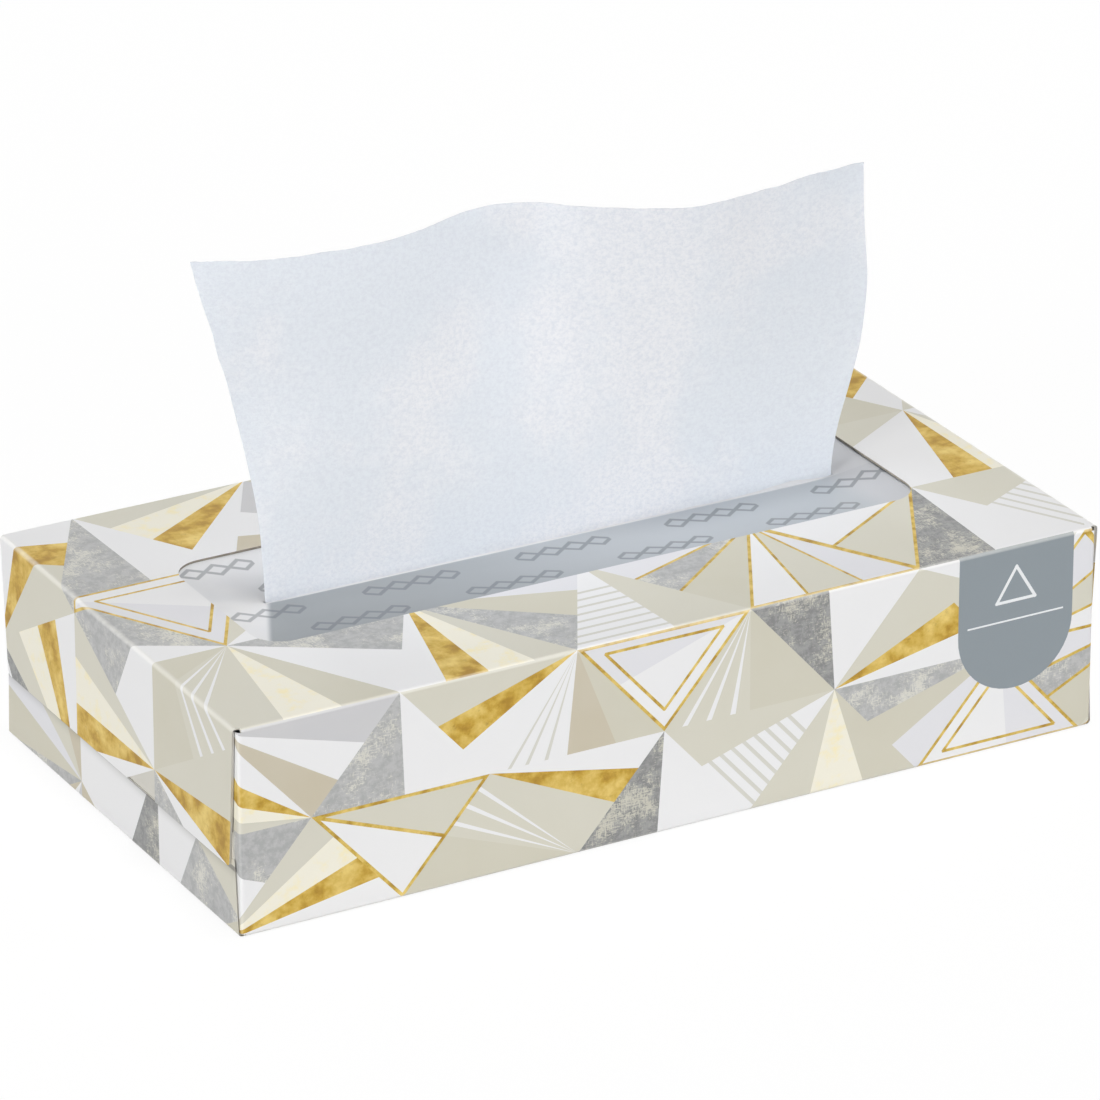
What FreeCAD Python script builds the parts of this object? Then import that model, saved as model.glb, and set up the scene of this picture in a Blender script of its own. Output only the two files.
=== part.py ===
import FreeCAD
import Part

import math
import os

from FreeCAD import Vector

# Flat tissue box, in millimetres. +X runs along the box, -Y faces the viewer, +Z is up,
# and the origin is the middle of the carton's underside.

# Carton, outside
box_length = 232.0
box_width = 125.0
box_height = 52.5
board = 0.5                 # thickness of the paperboard
fold_radius = 0.9           # outside radius of a crease
corner_relief = 1.3         # how far each flap stops short of the corner beside it

# End closures: the top flap lies over the bottom flap, and both over the dust flaps
top_flap_depth = 35.5
bottom_flap_depth = 34.0
flap_taper = 2.4            # how much a flap's side draws in over its depth
flap_corner = 1.2           # radius at the free corners of a flap
dust_flap_depth = 47.0
dust_flap_taper = 3.0

# Lengthwise glue seam: a strip folded up from the bottom panel, inside the back panel
seam_height = 13.0
seam_taper = 9.0

# Dispensing window in the top panel
window_length = 178.5
window_width = 51.5
window_corner = 8.0

# Film under the window
film = 0.1
film_margin = 11.0          # glued band around the window
film_sag_left = 1.4         # how far the slit's lips hang at the left end of the slit
film_sag_right = 2.3        # and at the right end
film_columns = 27           # poles of the film's surface along and across the box
film_rows = 19
slit_end_room = 1.5         # slit beyond each side of the tissue
slit_gap = 0.3              # air on each side of the tissue in the slit

# Tissue
sheet = 0.2                 # two plies
sheet_width = 190.0
sheet_length = 213.0
sheet_ease = 0.15           # air between sheets that lie on each other
head_room = 9.5             # between the pressed pack and the top panel
pack_corner = 2.5           # rounding of the pack's folded long edges

# The tissue that stands in the slit
slit_left = -75.3           # where the tissue's sides pass the film
slit_right = 77.6
drop_radius = 3.0           # bend from upright to flat below the film
lip_clearance = 1.0         # the waves start this far below the lips
stand_height = 80.5         # from the lips to the middle of the top edge
stand_lean = 1.6            # how late the waves grow towards the top edge
# The left and right sides of the standing part, from the lips to the top edge
left_side = (-75.3, -76.2, -78.2, -80.2, -82.1, -83.8, -86.5)
right_side = (77.6, 78.6, 84.8, 87.6, 87.9, 85.9, 85.0)
# How far the top edge stands back (+) or forward, and up or down, from left to right
edge_back = (11.4, 5.0, 3.6, 9.2, 9.8, -1.5, -7.2, -3.2, -4.1)
edge_up = (2.0, 0.9, 0.6, 1.6, 1.6, -0.2, -1.2, -0.5, -0.7)

# Worked out from the sizes above
half_length = box_length / 2
half_width = box_width / 2
fold_inner = fold_radius - board
sleeve_end = half_length - 2 * board - fold_radius
film_top = box_height - board
pack_top = film_top - head_room
pack_half_width = sheet_length / 4
half_sheet = sheet_width / 2
layer_step = sheet + sheet_ease
tail_level = pack_top + layer_step
next_upper_level = pack_top + 2 * layer_step
over_level = pack_top + 3 * layer_step
lip_sag = max(film_sag_left, film_sag_right)
stand_foot = film_top - lip_sag - film - lip_clearance
stand_top = film_top + stand_height


def slab(x0, x1, y0, y1, z0, z1):
    return Part.makeBox(x1 - x0, y1 - y0, z1 - z0, Vector(x0, y0, z0))


def prism(points, direction):
    """A closed outline of straight edges, drawn out along direction."""
    wire = Part.makePolygon(points + [points[0]])
    return Part.Face(wire).extrude(direction)


def fused(shapes):
    whole = shapes[0].multiFuse(shapes[1:]).removeSplitter()
    return whole.Solids[0] if len(whole.Solids) == 1 else whole


def edges_along(shape, axis):
    """The straight edges of shape that run along axis."""
    return [e for e in shape.Edges if abs(e.tangentAt(e.FirstParameter).dot(axis)) > 0.5]


def rounded_slab(length, width, radius, z0, z1):
    """A slab centred on the Z axis with rounded upright edges."""
    block = slab(-length / 2, length / 2, -width / 2, width / 2, z0, z1)
    return block.makeFillet(radius, edges_along(block, Vector(0, 0, 1)))


def sleeve():
    """The four long panels, creased along the box."""
    def tube(inset, radius):
        block = slab(-sleeve_end, sleeve_end, inset - half_width, half_width - inset, inset, box_height - inset)
        return block.makeFillet(radius, edges_along(block, Vector(1, 0, 0)))
    return tube(0, fold_radius).cut(tube(board, fold_inner))


def crease(length):
    """A quarter turn of board about the Y axis: from level, at the top, to upright, at +X."""
    def quarter(radius):
        return Part.makeCylinder(radius, length, Vector(0, 0, 0), Vector(0, 1, 0))
    ring = quarter(fold_radius).cut(quarter(fold_inner))
    return ring.common(slab(0, fold_radius, 0, length, 0, fold_radius))


def flap_blank(depth, width, taper):
    """A tapered flap hanging from the Y axis in the YZ plane, its outer face at x = 0."""
    low = width / 2 - taper
    high = width / 2
    blank = prism([Vector(0, -high, 0), Vector(0, high, 0), Vector(0, low, -depth), Vector(0, -low, -depth)],
                  Vector(-board, 0, 0))
    free = [e for e in edges_along(blank, Vector(1, 0, 0)) if e.CenterOfMass.z < -depth / 2]
    return blank.makeFillet(flap_corner, free)


def hinged_flap(outer_x, width, depth, taper):
    """Panel end, crease and flap at the +X end, for a panel whose outer face is at z = 0."""
    bend_x = outer_x - fold_radius
    panel = slab(sleeve_end - board, bend_x, -width / 2, width / 2, -board, 0)
    bend = crease(width)
    bend.translate(Vector(bend_x, -width / 2, -fold_radius))
    flap = flap_blank(depth - fold_radius, width, taper)
    flap.translate(Vector(outer_x, 0, -fold_radius))
    return [panel, bend, flap]


def end_closure():
    """All flaps of the +X end."""
    pieces = []
    across = box_width - 2 * corner_relief
    upright = box_height - 2 * corner_relief
    for shape in hinged_flap(half_length, across, top_flap_depth, flap_taper):
        shape.translate(Vector(0, 0, box_height))
        pieces.append(shape)
    for shape in hinged_flap(half_length - board, across, bottom_flap_depth, flap_taper):
        shape.rotate(Vector(0, 0, 0), Vector(1, 0, 0), 180)
        pieces.append(shape)
    for side in (1, -1):
        for shape in hinged_flap(half_length - 2 * board, upright, dust_flap_depth, dust_flap_taper):
            shape.rotate(Vector(0, 0, 0), Vector(1, 0, 0), -90 * side)
            shape.translate(Vector(0, side * half_width, box_height / 2))
            pieces.append(shape)
    return pieces


def seam():
    """The glued lap inside the back panel, along its foot."""
    reach = sleeve_end - board
    wall = half_width - board
    return prism([Vector(-reach, wall, board), Vector(reach, wall, board),
                  Vector(reach - seam_taper, wall, board + seam_height),
                  Vector(seam_taper - reach, wall, board + seam_height)],
                 Vector(0, -board, 0))


def carton():
    closure = end_closure()
    far = [shape.mirror(Vector(0, 0, 0), Vector(1, 0, 0)) for shape in closure]
    body = fused([sleeve(), seam()] + closure + far)
    window = rounded_slab(window_length, window_width, window_corner,
                          box_height - 2 * board, box_height + board)
    return body.cut(window).Solids[0]


def clamped_knots(count, degree):
    """Knots and multiplicities of a clamped spline with that many poles."""
    inner = count - degree - 1
    knots = [float(k) for k in range(inner + 2)]
    return knots, [degree + 1] + [1] * inner + [degree + 1]


def spline_surface(rows):
    """A cubic surface whose poles are the given rows of points."""
    u_knots, u_mults = clamped_knots(len(rows), 3)
    v_knots, v_mults = clamped_knots(len(rows[0]), 3)
    surface = Part.BSplineSurface()
    surface.buildFromPolesMultsKnots(rows, u_mults, v_mults, u_knots, v_knots, False, False, 3, 3)
    return surface


def skin_solid(rows, offset):
    """The closed solid between a spline surface and its copy moved by offset."""
    near = spline_surface(rows).toShape()
    return near.extrude(offset)


def film_height(x, y):
    """Upper side of the film: level under the board, hanging towards the slit."""
    reach_x = window_length / 2
    reach_y = window_width / 2
    across = max(0.0, 1 - abs(y) / reach_y)
    past_slit = max(0.0, abs(x) - (slit_right - slit_left) / 2)
    along = max(0.0, 1 - past_slit / (reach_x - (slit_right - slit_left) / 2))
    share = (x + reach_x) / window_length
    sag = film_sag_left + (film_sag_right - film_sag_left) * share
    return film_top - sag * math.sin(math.pi / 2 * across) * along


def window_film():
    half_x = window_length / 2 + film_margin
    half_y = window_width / 2 + film_margin
    rows = []
    for i in range(film_columns):
        x = -half_x + 2 * half_x * i / (film_columns - 1)
        row = []
        for j in range(film_rows):
            y = -half_y + 2 * half_y * j / (film_rows - 1)
            row.append(Vector(x, y, film_height(x, y)))
        rows.append(row)
    sheet_of_film = skin_solid(rows, Vector(0, 0, -film))
    slit_half = sheet / 2 + slit_gap
    slit = slab(slit_left - slit_end_room, slit_right + slit_end_room, -slit_half, slit_half,
                film_top - lip_sag - lip_clearance, film_top + board)
    return sheet_of_film.cut(slit).Solids[0]


def standing_part():
    """The part of the tissue above the slit: flat at the lips, waved at the top edge."""
    rows = []
    steps = len(left_side)
    for i in range(steps):
        share = i / (steps - 1)
        wave = share ** stand_lean if i > 1 else 0.0
        row = []
        for j in range(len(edge_back)):
            across = j / (len(edge_back) - 1)
            x = left_side[i] + (right_side[i] - left_side[i]) * across
            y = edge_back[j] * wave - sheet / 2
            z = stand_foot + (stand_top - stand_foot) * share + edge_up[j] * wave
            row.append(Vector(x, y, z))
        rows.append(row)
    return skin_solid(rows, Vector(0, sheet, 0))


def half_turn(radius_out, x0, x1, y, z, towards):
    """Half a turn of one sheet about an axis along X, open on the side away from towards."""
    def rod(radius):
        return Part.makeCylinder(radius, x1 - x0, Vector(x0, y, z), Vector(1, 0, 0))
    ring = rod(radius_out).cut(rod(radius_out - sheet))
    keep = slab(x0, x1, min(y, y + towards * radius_out), max(y, y + towards * radius_out),
                z - radius_out, z + radius_out)
    return ring.common(keep)


def popup_tissue():
    """Upright in the slit, then flat over the next tissue, round its free edge and back inside it."""
    bend_level = over_level + drop_radius + sheet
    foot = slab(slit_left, slit_right, -sheet / 2, sheet / 2, bend_level, stand_foot)

    def rod(radius):
        centre = Vector(slit_left, -sheet / 2 - drop_radius, bend_level)
        return Part.makeCylinder(radius, slit_right - slit_left, centre, Vector(1, 0, 0))
    ring = rod(drop_radius + sheet).cut(rod(drop_radius))
    start = -sheet / 2 - drop_radius
    bend = ring.common(slab(slit_left, slit_right, start, sheet / 2, over_level, bend_level))
    turn_radius = (over_level + sheet - tail_level) / 2
    edge = -pack_half_width + turn_radius
    over = prism([Vector(slit_left, start, over_level), Vector(slit_right, start, over_level),
                  Vector(half_sheet, edge, over_level), Vector(-half_sheet, edge, over_level)],
                 Vector(0, 0, sheet))
    loop = half_turn(turn_radius, -half_sheet, half_sheet, edge, tail_level + turn_radius, -1)
    used = (stand_height + film_top - bend_level + drop_radius * math.pi / 2
            + (start - edge) + turn_radius * math.pi)
    tail = slab(-half_sheet, half_sheet, edge, edge + sheet_length - used, tail_level, tail_level + sheet)
    return fused([standing_part(), foot, bend, over, loop, tail])


def next_tissue():
    """The next sheet, folded once: its fold at the back, its free edge held in the loop at the front."""
    turn_radius = (next_upper_level + sheet - pack_top) / 2
    fold = pack_half_width - turn_radius
    popup_turn = (over_level + sheet - tail_level) / 2
    free_edge = -pack_half_width + popup_turn
    lower = slab(-half_sheet, half_sheet, -pack_half_width, fold, pack_top, pack_top + sheet)
    upper = slab(-half_sheet, half_sheet, free_edge, fold, next_upper_level, next_upper_level + sheet)
    loop = half_turn(turn_radius, -half_sheet, half_sheet, fold, pack_top + turn_radius, 1)
    return fused([lower, loop, upper])


def tissue_stack():
    block = slab(-half_sheet, half_sheet, -pack_half_width, pack_half_width, board, pack_top)
    return block.makeFillet(pack_corner, edges_along(block, Vector(1, 0, 0))).Solids[0]


os.makedirs("parts", exist_ok=True)
makers = {
    "carton": carton,
    "window_film": window_film,
    "popup_tissue": popup_tissue,
    "next_tissue": next_tissue,
    "tissue_stack": tissue_stack,
}
for node, make in makers.items():
    shape = make()
    print(node, shape.ShapeType, len(shape.Solids), "valid", shape.isValid(), "volume", round(shape.Volume, 1))
    shape.exportStep("parts/" + node + ".step")
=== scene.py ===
import math
import random

import bpy
from mathutils import Matrix, Vector, noise


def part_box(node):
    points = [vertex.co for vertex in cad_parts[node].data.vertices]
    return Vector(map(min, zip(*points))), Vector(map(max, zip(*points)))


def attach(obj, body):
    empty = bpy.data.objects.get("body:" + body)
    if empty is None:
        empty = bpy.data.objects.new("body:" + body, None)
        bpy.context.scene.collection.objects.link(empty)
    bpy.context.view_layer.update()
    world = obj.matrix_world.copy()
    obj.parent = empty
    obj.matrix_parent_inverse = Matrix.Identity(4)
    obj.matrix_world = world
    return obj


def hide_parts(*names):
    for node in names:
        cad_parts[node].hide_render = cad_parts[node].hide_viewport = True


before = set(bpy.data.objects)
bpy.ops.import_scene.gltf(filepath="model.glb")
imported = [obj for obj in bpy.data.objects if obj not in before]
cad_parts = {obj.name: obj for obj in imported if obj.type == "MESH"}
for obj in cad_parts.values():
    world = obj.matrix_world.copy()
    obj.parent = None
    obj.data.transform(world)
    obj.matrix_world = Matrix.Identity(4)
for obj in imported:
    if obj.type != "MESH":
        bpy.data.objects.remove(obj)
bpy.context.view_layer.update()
mm = 0.001
hair = 1e-6     # a distance in mm that counts as none
crumb = 1e-3    # an area in mm2 that counts as none


def sizeOf(node):
    low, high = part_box(node)
    return low / mm, high / mm


# shader helpers

def tone(red, green, blue):
    # screen values 0 to 255, as linear light
    def linear(value):
        value = value / 255
        return value / 12.92 if value <= 0.04045 else ((value + 0.055) / 1.055) ** 2.4
    return (linear(red), linear(green), linear(blue), 1.0)


class Wire:
    # an output socket; arithmetic on it adds Math nodes
    def __init__(self, nodes, socket):
        self.nodes = nodes
        self.socket = socket

    def math(self, operation, *others, clamp=False):
        return self.nodes.maths(operation, self, *others, clamp=clamp)

    def __add__(self, other):
        return self.math("ADD", other)

    def __radd__(self, other):
        return self.nodes.maths("ADD", other, self)

    def __sub__(self, other):
        return self.math("SUBTRACT", other)

    def __rsub__(self, other):
        return self.nodes.maths("SUBTRACT", other, self)

    def __mul__(self, other):
        return self.math("MULTIPLY", other)

    def __rmul__(self, other):
        return self.nodes.maths("MULTIPLY", other, self)

    def __truediv__(self, other):
        return self.math("DIVIDE", other)

    def __rtruediv__(self, other):
        return self.nodes.maths("DIVIDE", other, self)

    def __abs__(self):
        return self.math("ABSOLUTE")

    def unit(self):
        # held between 0 and 1
        return self.math("ADD", 0.0, clamp=True)

    def ramp(self, low, high):
        # 0 at low, 1 at high, smooth between
        return self.nodes.node("ShaderNodeMapRange", {"interpolation_type": "SMOOTHSTEP"},
                               {"Value": self, "From Min": low, "From Max": high})["Result"]


class NodeTree:
    # the nodes of a material or of the world
    def __init__(self, tree):
        self.tree = tree
        tree.nodes.clear()

    def feed(self, socket, value):
        if isinstance(value, Wire):
            self.tree.links.new(value.socket, socket)
        else:
            socket.default_value = value

    def node(self, kind, settings=None, inputs=None):
        node = self.tree.nodes.new(kind)
        for name, value in (settings or {}).items():
            setattr(node, name, value)
        for name, value in (inputs or {}).items():
            self.feed(node.inputs[name], value)
        return {out.name: Wire(self, out) for out in node.outputs if out.enabled}

    def maths(self, operation, *values, clamp=False):
        return self.node("ShaderNodeMath", {"operation": operation, "use_clamp": clamp},
                         dict(enumerate(values)))["Value"]

    def mix(self, share, first, second):
        # two colours; the node keeps its colour sockets at 6 and 7
        return self.node("ShaderNodeMix", {"data_type": "RGBA"}, {0: share, 6: first, 7: second})["Result"]

    def blend(self, share, first, second):
        # two shaders
        return self.node("ShaderNodeMixShader", None, {0: share, 1: first, 2: second})["Shader"]

    def offstage(self):
        # 1 where the backdrop itself is seen, straight, mirrored or through something clear
        path = self.node("ShaderNodeLightPath")
        return path["Is Camera Ray"].math("MAXIMUM", path["Is Glossy Ray"]).math(
            "MAXIMUM", path["Is Transmission Ray"])


class Finish(NodeTree):
    # one material: a Principled shader and whatever drives it
    def __init__(self, name, **constants):
        self.material = bpy.data.materials.new(name)
        self.material.use_nodes = True
        super().__init__(self.material.node_tree)
        self.shader = self.tree.nodes.new("ShaderNodeBsdfPrincipled")
        self.shaded = Wire(self, self.shader.outputs[0])
        self.end = self.tree.nodes.new("ShaderNodeOutputMaterial")
        self.show(self.shaded)
        self.set(**constants)

    def show(self, shader):
        self.feed(self.end.inputs["Surface"], shader)

    def set(self, **values):
        for socket, value in values.items():
            self.feed(self.shader.inputs[socket.replace("_", " ")], value)

    def stretch(self, vector, scale, turn=0.0):
        return self.node("ShaderNodeMapping", None,
                         {"Vector": vector, "Scale": scale, "Rotation": (0, 0, math.radians(turn))})["Vector"]

    def cloud(self, vector, scale, detail=3.0, rough=0.55):
        return self.node("ShaderNodeTexNoise", None,
                         {"Vector": vector, "Scale": scale, "Detail": detail, "Roughness": rough})["Fac"]

    def position(self):
        # the point on the surface, whole and by axis, in metres
        point = self.node("ShaderNodeNewGeometry")["Position"]
        return point, self.node("ShaderNodeSeparateXYZ", None, {"Vector": point})

    def bump(self, height, distance, strength=1.0):
        self.set(Normal=self.node("ShaderNodeBump", None, {
            "Height": height, "Distance": distance, "Strength": strength})["Normal"])


def meshPiece(name, points, faces, finishes, slots=None, smooth=True):
    mesh = bpy.data.meshes.new(name)
    mesh.from_pydata([Vector(p) * mm for p in points], [], faces)
    for finish in finishes:
        mesh.materials.append(finish.material)
    for number, face in enumerate(mesh.polygons):
        face.use_smooth = smooth
        if slots:
            face.material_index = slots[number]
    piece = bpy.data.objects.new(name, mesh)
    bpy.context.scene.collection.objects.link(piece)
    return piece


def thicken(piece, thick, sharp=50):
    # a sheet gets its thickness, half to each side
    body = piece.modifiers.new("thick", "SOLIDIFY")
    body.thickness = thick * mm
    body.offset = 0.0
    bpy.context.view_layer.objects.active = piece
    piece.select_set(True)
    bpy.ops.object.modifier_apply(modifier=body.name)
    piece.select_set(False)
    piece.data.set_sharp_from_angle(angle=math.radians(sharp))
    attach(piece, "root")
    return piece


def dress(node, finish):
    # a CAD node takes a finish, and its mesh stays as it is
    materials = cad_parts[node].data.materials
    materials.clear()
    materials.append(finish.material)


# flat shapes on the unfolded board

def between(a, b, share):
    return (a[0] + (b[0] - a[0]) * share, a[1] + (b[1] - a[1]) * share)


def area(shape):
    return sum(shape[i - 1][0] * p[1] - p[0] * shape[i - 1][1] for i, p in enumerate(shape)) / 2


def whole(shape):
    return shape if len(shape) > 2 and abs(area(shape)) > crumb else None


def turned(shape):
    # the same shape, drawn counter-clockwise
    return shape if area(shape) > 0 else shape[::-1]


def split(shape, a, b):
    # the parts of a convex shape on the left and on the right of the line from a to b
    dx, dy = b[0] - a[0], b[1] - a[1]
    reach = math.hypot(dx, dy)
    sides = [(dx * (p[1] - a[1]) - dy * (p[0] - a[0])) / reach for p in shape]
    left, right = [], []
    for i, p in enumerate(shape):
        j = (i + 1) % len(shape)
        here, there = sides[i], sides[j]
        if here >= -hair:
            left.append(p)
        if here <= hair:
            right.append(p)
        if min(here, there) < -hair and max(here, there) > hair:
            cross = between(p, shape[j], here / (here - there))
            left.append(cross)
            right.append(cross)
    return whole(left), whole(right)


def apart(shape, other):
    xs, ys = [p[0] for p in shape], [p[1] for p in shape]
    ox, oy = [p[0] for p in other], [p[1] for p in other]
    return max(xs) <= min(ox) or max(ox) <= min(xs) or max(ys) <= min(oy) or max(oy) <= min(ys)


def carve(shape, tool):
    # what of shape lies outside the convex tool, and what lies inside
    if apart(shape, tool):
        return [shape], None
    outside, rest = [], shape
    for i, corner in enumerate(tool):
        rest, away = split(rest, tool[i - 1], corner)
        if away:
            outside.append(away)
        if not rest:
            return outside, None
    return outside, rest


def paint(facets, tool, ink):
    # the part of each facet inside the tool takes the ink
    tool = turned(tool)
    done = []
    for shape, old in facets:
        outside, inside = carve(shape, tool)
        done += [(part, old) for part in outside]
        if inside:
            done.append((inside, ink))
    return done


def band(a, b, line, past=0.0):
    # a straight line of some thickness, run on past its ends
    dx, dy = b[0] - a[0], b[1] - a[1]
    reach = math.hypot(dx, dy)
    ex, ey = dx / reach * past, dy / reach * past
    nx, ny = -dy / reach * line / 2, dx / reach * line / 2
    return [(a[0] - ex - nx, a[1] - ey - ny), (b[0] + ex - nx, b[1] + ey - ny),
            (b[0] + ex + nx, b[1] + ey + ny), (a[0] - ex + nx, a[1] - ey + ny)]


def outline(facets, corners, line, past, ink):
    for i, corner in enumerate(corners):
        facets = paint(facets, band(corners[i - 1], corner, line, past), ink)
    return facets


def middleOf(corners):
    return (sum(p[0] for p in corners) / len(corners), sum(p[1] for p in corners) / len(corners))


# the board's print, drawn on the unfolded plane: u along the box, s round it

cartonLow, cartonHigh = sizeOf("carton")
length = cartonHigh.x - cartonLow.x
width = cartonHigh.y - cartonLow.y
height = cartonHigh.z

# rows of four go round the box: top, front, bottom, back
board = {
    "thick": 0.5,
    "fold": 0.9,                            # outer radius of a fold
    "foldParts": 3,                         # cuts to each side of a fold
    "relief": 0.75,                         # how far a flap's sides stand in from the folds beside it
    "flapDepth": (35.5, 6.0, 19.0, 6.0),    # how much of each flap is printed
    "taper": (2.4, 0.2, 1.2, 0.2),
    "corner": (1.2, 0.05, 0.05, 0.05),
    "blunt": 0.3,                           # share of a corner that its middle cut leaves
    "spring": (0.25, 1.6),                  # how far the top flap's edge stands off, and how late it starts
    "flapCuts": (6, 10, 14, 18, 22, 26, 30, 34),
    "window": (178.5, 51.5, 8.0),           # length, width, corner radius
    "ink": 0.05}                            # how far the print lies off the board

starts = (0.0, width, width + height, 2 * width + height, 2 * width + 2 * height)
endAt = tuple(length / 2 - covers * board["thick"] for covers in (0, 2, 1, 2))
# where each panel begins, which way it runs and which way it faces, in y and z
panels = (((width / 2, height), (-1, 0), (0, 1)),
          ((-width / 2, height), (0, -1), (-1, 0)),
          ((-width / 2, 0), (1, 0), (0, -1)),
          ((width / 2, 0), (0, 1), (1, 0)))

pattern = {"base": 46.4, "shift": -4.0, "columns": 8, "rows": (3, 2, 3, 2), "seed": 23, "past": 1.0,
           "insetPast": 0.25}
# cuts divide a triangle's far side between the inks. rays: places, half width, ink. ribs, frame: ink, line.
# inset: how far in, ink, line. rules: side, first, step, line, how many, ink, the ink they lie on
motifs = {
    "a": {"cuts": (0.3, 0.58), "inks": ("white", "gold", "greige")},
    "b": {"cuts": (0.52,), "inks": ("silver", "white")},
    "c": {"cuts": (0.44, 0.72), "inks": ("white", "tan", "sand"),
          "rays": ((0.11, 0.21, 0.32), 0.011, "rule")},
    "d": {"cuts": (0.5,), "inks": ("greige", "white"), "ribs": ("foil", 0.9), "frame": ("foil", 1.7)},
    "e": {"cuts": (0.36, 0.68), "inks": ("greige", "cream", "sand")},
    "f": {"cuts": (0.55,), "inks": ("white", "pearl"), "inset": (0.32, "foil", 0.75),
          "frame": ("foil", 1.6)},
    "g": {"cuts": (0.56,), "inks": ("white", "greige"),
          "rules": (1, 0.06, 0.085, 0.95, 8, "rule", "white")},
    "h": {"cuts": (0.46,), "inks": ("slate", "white")},
    "i": {"cuts": (0.3, 0.6), "inks": ("pearl", "sand", "silver")},
    "j": {"hub": ("white", "tan", "greige")},
    "k": {"cuts": (0.26, 0.5, 0.76), "inks": ("white", "gold", "cream", "greige")},
    "l": {"cuts": (0.5,), "inks": ("greige", "sand"), "rays": ((0.12, 0.26, 0.4), 0.016, "white")},
    "m": {"cuts": (0.4, 0.7), "inks": ("ash", "white", "tan")},
    "n": {"cuts": (0.4, 0.66), "inks": ("sand", "silver", "pearl"), "ribs": ("foil", 0.8)},
    "o": {"cuts": (0.34, 0.67), "inks": ("white", "greige", "pearl"), "ribs": ("foil", 0.7),
          "frame": ("foil", 1.6)}}


def motif(form, corners):
    # the facets of one triangle of the lattice, fanned from its first corner
    a, b, c = corners
    if "hub" in form:
        return [([corners[i - 1], corners[i], middleOf(corners)], ink) for i, ink in enumerate(form["hub"])]
    past = pattern["past"]
    stops = (0.0,) + form["cuts"] + (1.0,)
    facets = [([a, between(b, c, stops[k]), between(b, c, stops[k + 1])], ink)
              for k, ink in enumerate(form["inks"])]
    if "rules" in form:
        side, first, step, line, count, ink, under = form["rules"]
        plain = [facet for facet in facets if facet[1] != under]
        facets = [facet for facet in facets if facet[1] == under]
        start, end, tip = (corners[(side + k) % 3] for k in range(3))
        for k in range(count):
            share = first + step * k
            rule = band(between(start, tip, share), between(end, tip, share), line, past)
            facets = paint(facets, rule, ink)
        facets += plain
    if "rays" in form:
        places, spread, ink = form["rays"]
        for at in places:
            facets = paint(facets, [a, between(b, c, at - spread), between(b, c, at + spread)], ink)
    if "ribs" in form:
        ink, line = form["ribs"]
        for at in form["cuts"]:
            facets = paint(facets, band(a, between(b, c, at), line, past), ink)
    if "inset" in form:
        share, ink, line = form["inset"]
        inner = [between(p, middleOf(corners), share) for p in corners]
        facets = outline(facets, inner, line, line * pattern["insetPast"], ink)
    if "frame" in form:
        ink, line = form["frame"]
        facets = outline(facets, corners, line, line, ink)
    return facets


# one letter a triangle, one word a row, from the back edge of the top round to the back again
layout = ("hkabkmcfblanakib", "kbfgoalhncjkbahm", "balebkignodhgabl",
          "gkmbacflhagofbdk", "mcbkdlahgeifnadb",
          "gblahnkbmofcijal", "kbhmdhgoclebfnam", "jimcbladgkhfaion",
          "hbfmojclagkbidan", "dalgobkfhecjnabm")


def lattice():
    # rows of triangles that point down and up by turns
    rows = []
    for face in range(4):
        count, span = pattern["rows"][face], starts[face + 1] - starts[face]
        rows += [(starts[face] + span * k / count, starts[face] + span * (k + 1) / count)
                 for k in range(count)]
    chance = random.Random(pattern["seed"])
    facets = []
    base = pattern["base"]
    for number, (top, low) in enumerate(rows):
        lean = base / 2 if number % 2 else 0.0
        for k, letter in enumerate(layout[number]):
            upper = pattern["shift"] + (k // 2 - pattern["columns"] / 2) * base + lean
            if k % 2 == 0:
                corners = [(upper, top), (upper + base, top), (upper + base / 2, low)]
            else:
                corners = [(upper + base / 2, low), (upper + base * 1.5, low), (upper + base, top)]
            pick = chance.randrange(3)
            corners = corners[pick:] + corners[:pick]
            facets += [(turned(shape), ink) for shape, ink in motif(motifs[letter], corners)]
    return facets


def spring(past):
    # how far the top flap stands off at a distance past its fold
    off, late = board["spring"]
    return off * max(0.0, (past - 2 * board["fold"]) / (board["flapDepth"][0] - board["fold"])) ** late


def place(face, u, s):
    # a point of the unfolded plane on the folded box, and its outward normal
    begin, onward, out = (Vector((0, y, z)) for y, z in panels[face])
    fold, ink = board["fold"], board["ink"]
    span = starts[face + 1] - starts[face]
    down = s - starts[face]
    sideways = Vector((1 if u > 0 else -1, 0, 0))
    past = abs(u) - (endAt[face] - fold)
    if past > 0:
        flat = begin + onward * down
        if past < 2 * fold:
            angle = math.pi / 2 * past / (2 * fold)
            normal = out * math.cos(angle) + sideways * math.sin(angle)
            return flat - out * fold + sideways * (endAt[face] - fold) + normal * (fold + ink), normal
        lift = spring(past) if face == 0 else 0.0
        return flat - out * (past - fold) + sideways * (endAt[face] + ink + lift), sideways
    angle, lead = 0.0, 0
    if down < fold:
        angle, lead = math.pi / 4 * (1 - down / fold), -1
    elif span - down < fold:
        angle, lead = math.pi / 4 * (1 - (span - down) / fold), 1
    normal = out * math.cos(angle) + onward * (lead * math.sin(angle))
    start = begin + Vector((u, 0, 0))
    if lead:
        reach = fold if lead < 0 else span - fold
        return start + onward * reach - out * fold + normal * (fold + ink), normal
    return start + onward * down + normal * ink, normal


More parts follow.
